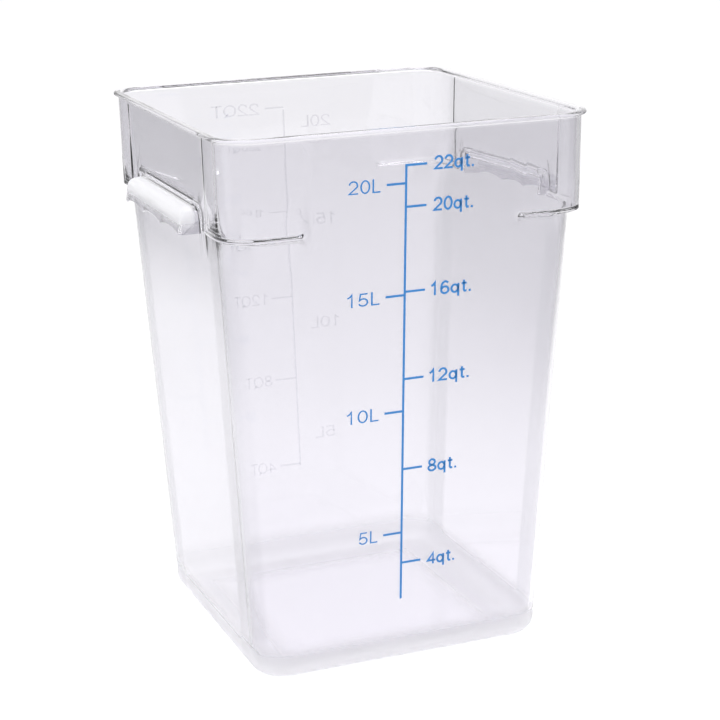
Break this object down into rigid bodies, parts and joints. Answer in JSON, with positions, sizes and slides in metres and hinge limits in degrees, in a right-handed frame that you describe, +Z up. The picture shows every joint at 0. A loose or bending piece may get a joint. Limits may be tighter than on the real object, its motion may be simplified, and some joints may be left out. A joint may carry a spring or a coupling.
{
  "type": "dough proofing container",
  "caption": "Tall square clear container with a stepped shoulder band, a rolled rim, open-bottomed grips and a printed volume scale.",
  "frame": {"origin": "centre of the flat base, on the surface it stands on", "axes": "+Z up, -Y towards the printed scale, +X and -X towards the two grips"},
  "size_m": [0.2914, 0.276, 0.395],
  "materials": {
    "clear_plastic": "clear gloss polycarbonate, frosted on the grips",
    "blue_ink": "printed ink, satin"
  },
  "bodies": {
    "root": {"container": "clear_plastic", "scale_line": "blue_ink", "quart_marks_ink": "blue_ink", "litre_marks_ink": "blue_ink"}
  },
  "joints": []
}
